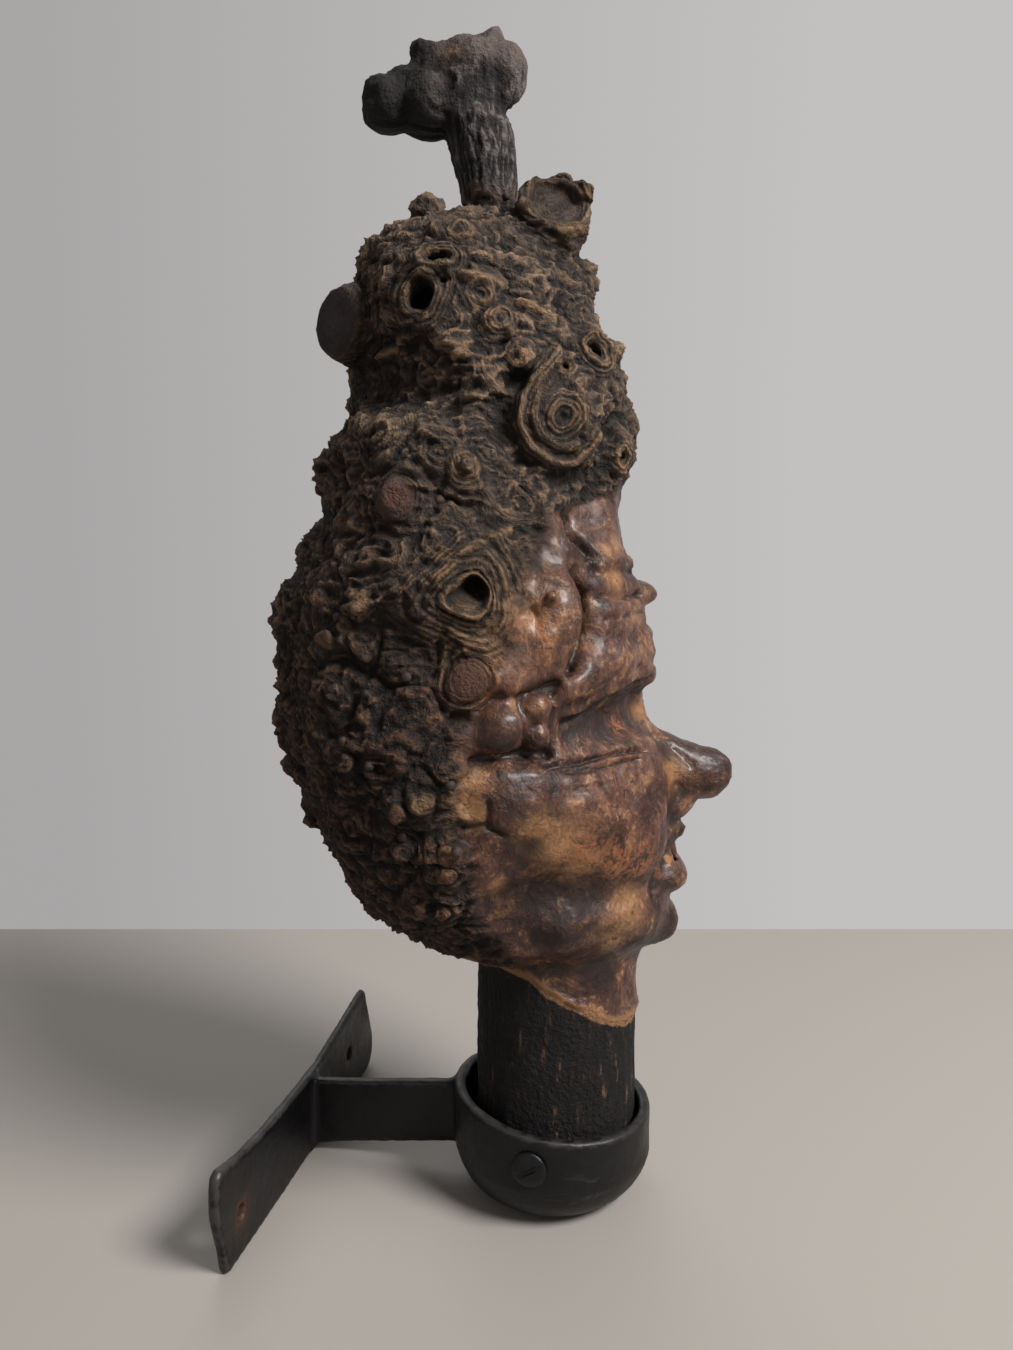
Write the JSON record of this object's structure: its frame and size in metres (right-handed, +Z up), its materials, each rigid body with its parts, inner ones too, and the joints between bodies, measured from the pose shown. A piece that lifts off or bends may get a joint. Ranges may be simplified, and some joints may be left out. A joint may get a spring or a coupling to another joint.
{
  "type": "burl wood head in an iron ring bracket",
  "caption": "Knotty burl of wood that reads as a head in profile, its branch neck standing in the ring of a forged iron wall bracket.",
  "frame": {"origin": "middle of the whole object's footprint, at the level it stands on", "axes": "+Z up, the face looks along +X, the bracket's arm runs backwards along -X"},
  "size_m": [0.149, 0.1362, 0.3456],
  "materials": {
    "burl_wood": "weathered grey-brown bark and burl over the hair, debarked and varnished red-brown wood on the face",
    "black_iron": "satin black, hand worn, a little rust in the screw holes",
    "painted_screw": "satin black painted over"
  },
  "bodies": {
    "root": {"burl_head": "burl_wood", "iron_bracket": "black_iron", "neck_screw": "painted_screw"}
  },
  "joints": []
}
